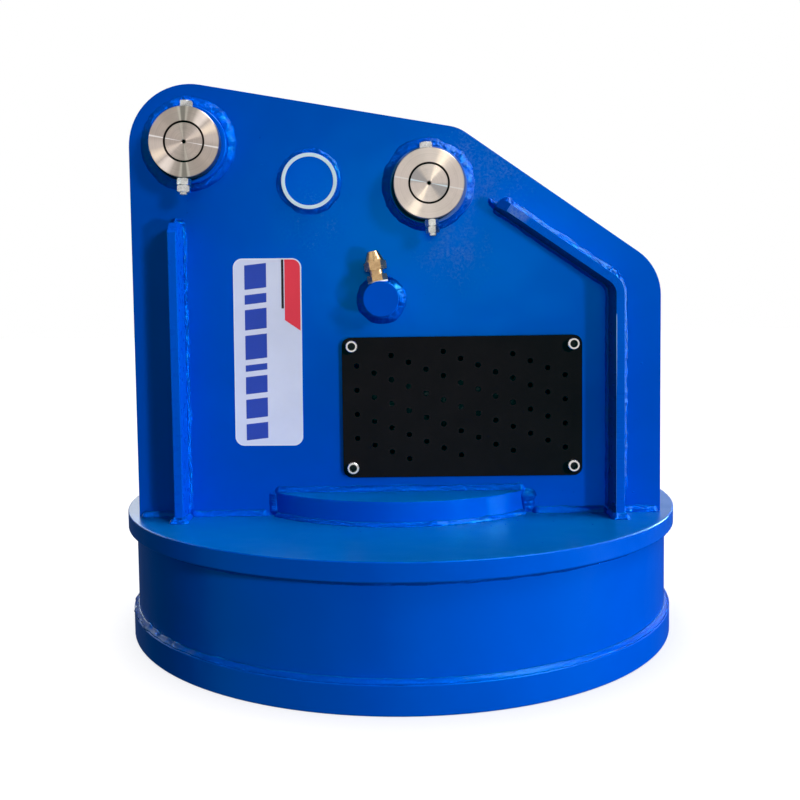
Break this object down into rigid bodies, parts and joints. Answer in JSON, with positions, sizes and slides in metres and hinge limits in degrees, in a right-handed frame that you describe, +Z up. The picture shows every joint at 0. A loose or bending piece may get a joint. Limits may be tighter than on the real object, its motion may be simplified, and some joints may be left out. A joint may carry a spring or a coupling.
{
  "type": "lifting electromagnet",
  "caption": "Round lifting electromagnet for an excavator: a drum magnet under cheek plates with cross pins, stiffener bars, perforated covers and its own generator inside.",
  "frame": {"origin": "drum axis at the pole faces, the middle of the underside", "axes": "+Z up along the drum axis, the front cheek faces -Y, +X runs from the arm pin towards the link pin"},
  "size_m": [1.1998, 1.2, 1.1375],
  "materials": {
    "blue_paint": "gloss, brushed and sprayed over weld beads",
    "turned_steel": "turned on a lathe, bare",
    "zinc_plated": "zinc plated",
    "stainless": "satin",
    "black_paint": "satin powder coat",
    "brass": "bright, a little tarnished",
    "white_seal": "matt",
    "label_film": "satin film with plain blue and red fields",
    "bare_pole": "machined, bare",
    "manganese_plate": "mill finish",
    "aluminium_winding": "strip winding",
    "potting": "cast resin",
    "cast_iron": "as cast and painted",
    "gear_steel": "ground",
    "cast_aluminium": "as cast",
    "lamination": "stacked sheet",
    "copper_winding": "lacquered copper",
    "bearing_steel": "ground and polished",
    "grey_paint": "satin"
  },
  "bodies": {
    "frame": {"arm_boss_front": "blue_paint", "arm_boss_rear": "blue_paint", "badge_disc": "blue_paint", "bottom_cover": "manganese_plate", "cable_stub": "blue_paint", "cheek_front": "blue_paint", "cheek_rear": "blue_paint", "coil": "aluminium_winding", "coil_potting": "potting", "deck_bolts": "zinc_plated", "deck_ledges": "blue_paint", "deck_plate": "blue_paint", "end_shield": "cast_aluminium", "generator_base": "grey_paint", "generator_housing": "cast_aluminium", "gland_body": "brass", "gland_nut": "brass", "gland_seal": "white_seal", "hydraulic_ports": "zinc_plated", "inner_core": "bare_pole", "inner_pole_shoe": "bare_pole", "label_plate": "label_film", "left_end_plate": "blue_paint", "left_stiffener_front": "blue_paint", "left_stiffener_rear": "blue_paint", "link_boss_front": "blue_paint", "link_boss_rear": "blue_paint", "motor_body": "cast_iron", "motor_flange": "cast_iron", "outer_pole_ring": "blue_paint", "pole_shell": "blue_paint", "pole_shoe_bolts": "zinc_plated", "port_locknuts": "zinc_plated", "right_end_plate": "blue_paint", "right_stiffener_front": "blue_paint", "right_stiffener_rear": "blue_paint", "rotor_bearings": "bearing_steel", "stator_core": "lamination", "stator_winding": "copper_winding", "top_plate": "blue_paint", "vent_cover_front": "black_paint", "vent_cover_rear": "black_paint", "vent_cover_screws": "stainless", "yoke_disc": "blue_paint"},
    "arm_pin_set": {"arm_pin": "turned_steel", "arm_collar_front": "turned_steel", "arm_collar_rear": "turned_steel", "arm_collar_bolts": "zinc_plated", "arm_collar_nuts": "zinc_plated"},
    "link_pin_set": {"link_pin": "turned_steel", "link_collar_front": "turned_steel", "link_collar_rear": "turned_steel", "link_collar_bolts": "zinc_plated", "link_collar_nuts": "zinc_plated"},
    "drive_line": {"drive_gear": "gear_steel", "shaft_coupling": "gear_steel", "rotor_shaft": "gear_steel", "rotor_core": "lamination", "cooling_fan": "cast_aluminium"},
    "idler": {"idler_gear": "gear_steel"}
  },
  "joints": [
    {"name": "arm_pin_turn", "type": "hinge", "parent": "frame", "child": "arm_pin_set", "pos_m": [-0.4115, 0, 1.013], "axis": [0, 1, 0], "continuous": true},
    {"name": "link_pin_turn", "type": "hinge", "parent": "frame", "child": "link_pin_set", "pos_m": [0.064, 0, 0.926], "axis": [0, 1, 0], "continuous": true},
    {"name": "drive_spin", "type": "hinge", "parent": "frame", "child": "drive_line", "pos_m": [0, 0, 0.486], "axis": [1, 0, 0], "continuous": true},
    {"name": "idler_spin", "type": "hinge", "parent": "frame", "child": "idler", "pos_m": [0, 0, 0.432], "axis": [1, 0, 0], "continuous": true}
  ],
  "couplings": [
    {"joint": "idler_spin", "follows": "drive_spin", "ratio": -1}
  ]
}
